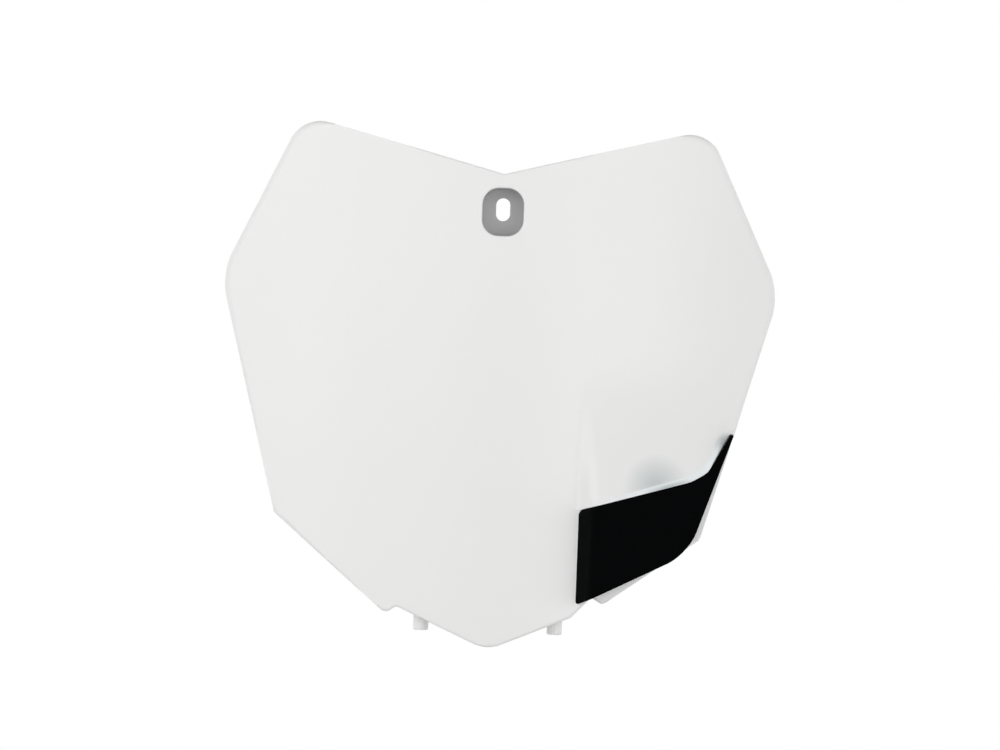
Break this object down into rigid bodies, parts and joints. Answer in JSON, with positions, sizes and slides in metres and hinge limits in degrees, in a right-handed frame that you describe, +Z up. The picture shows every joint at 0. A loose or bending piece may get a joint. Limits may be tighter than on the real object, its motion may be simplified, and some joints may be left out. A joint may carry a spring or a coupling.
{
  "type": "motorcycle front number plate",
  "caption": "Curved front number plate shell with a recessed bolt slot at the top, lower pegs and a stand-off brake hose cover.",
  "frame": {"origin": "centre of the upright bolt slot, on the floor of the bolt pocket where the bolt head bears", "axes": "+Z up, the front of the plate faces -Y, +X to the right as seen from the front"},
  "size_m": [0.2583, 0.0545, 0.2404],
  "materials": {
    "white_plastic": "gloss moulded",
    "black_plastic": "fine matt"
  },
  "bodies": {
    "root": {"number_plate": "white_plastic", "hose_cover": "black_plastic"}
  },
  "joints": []
}
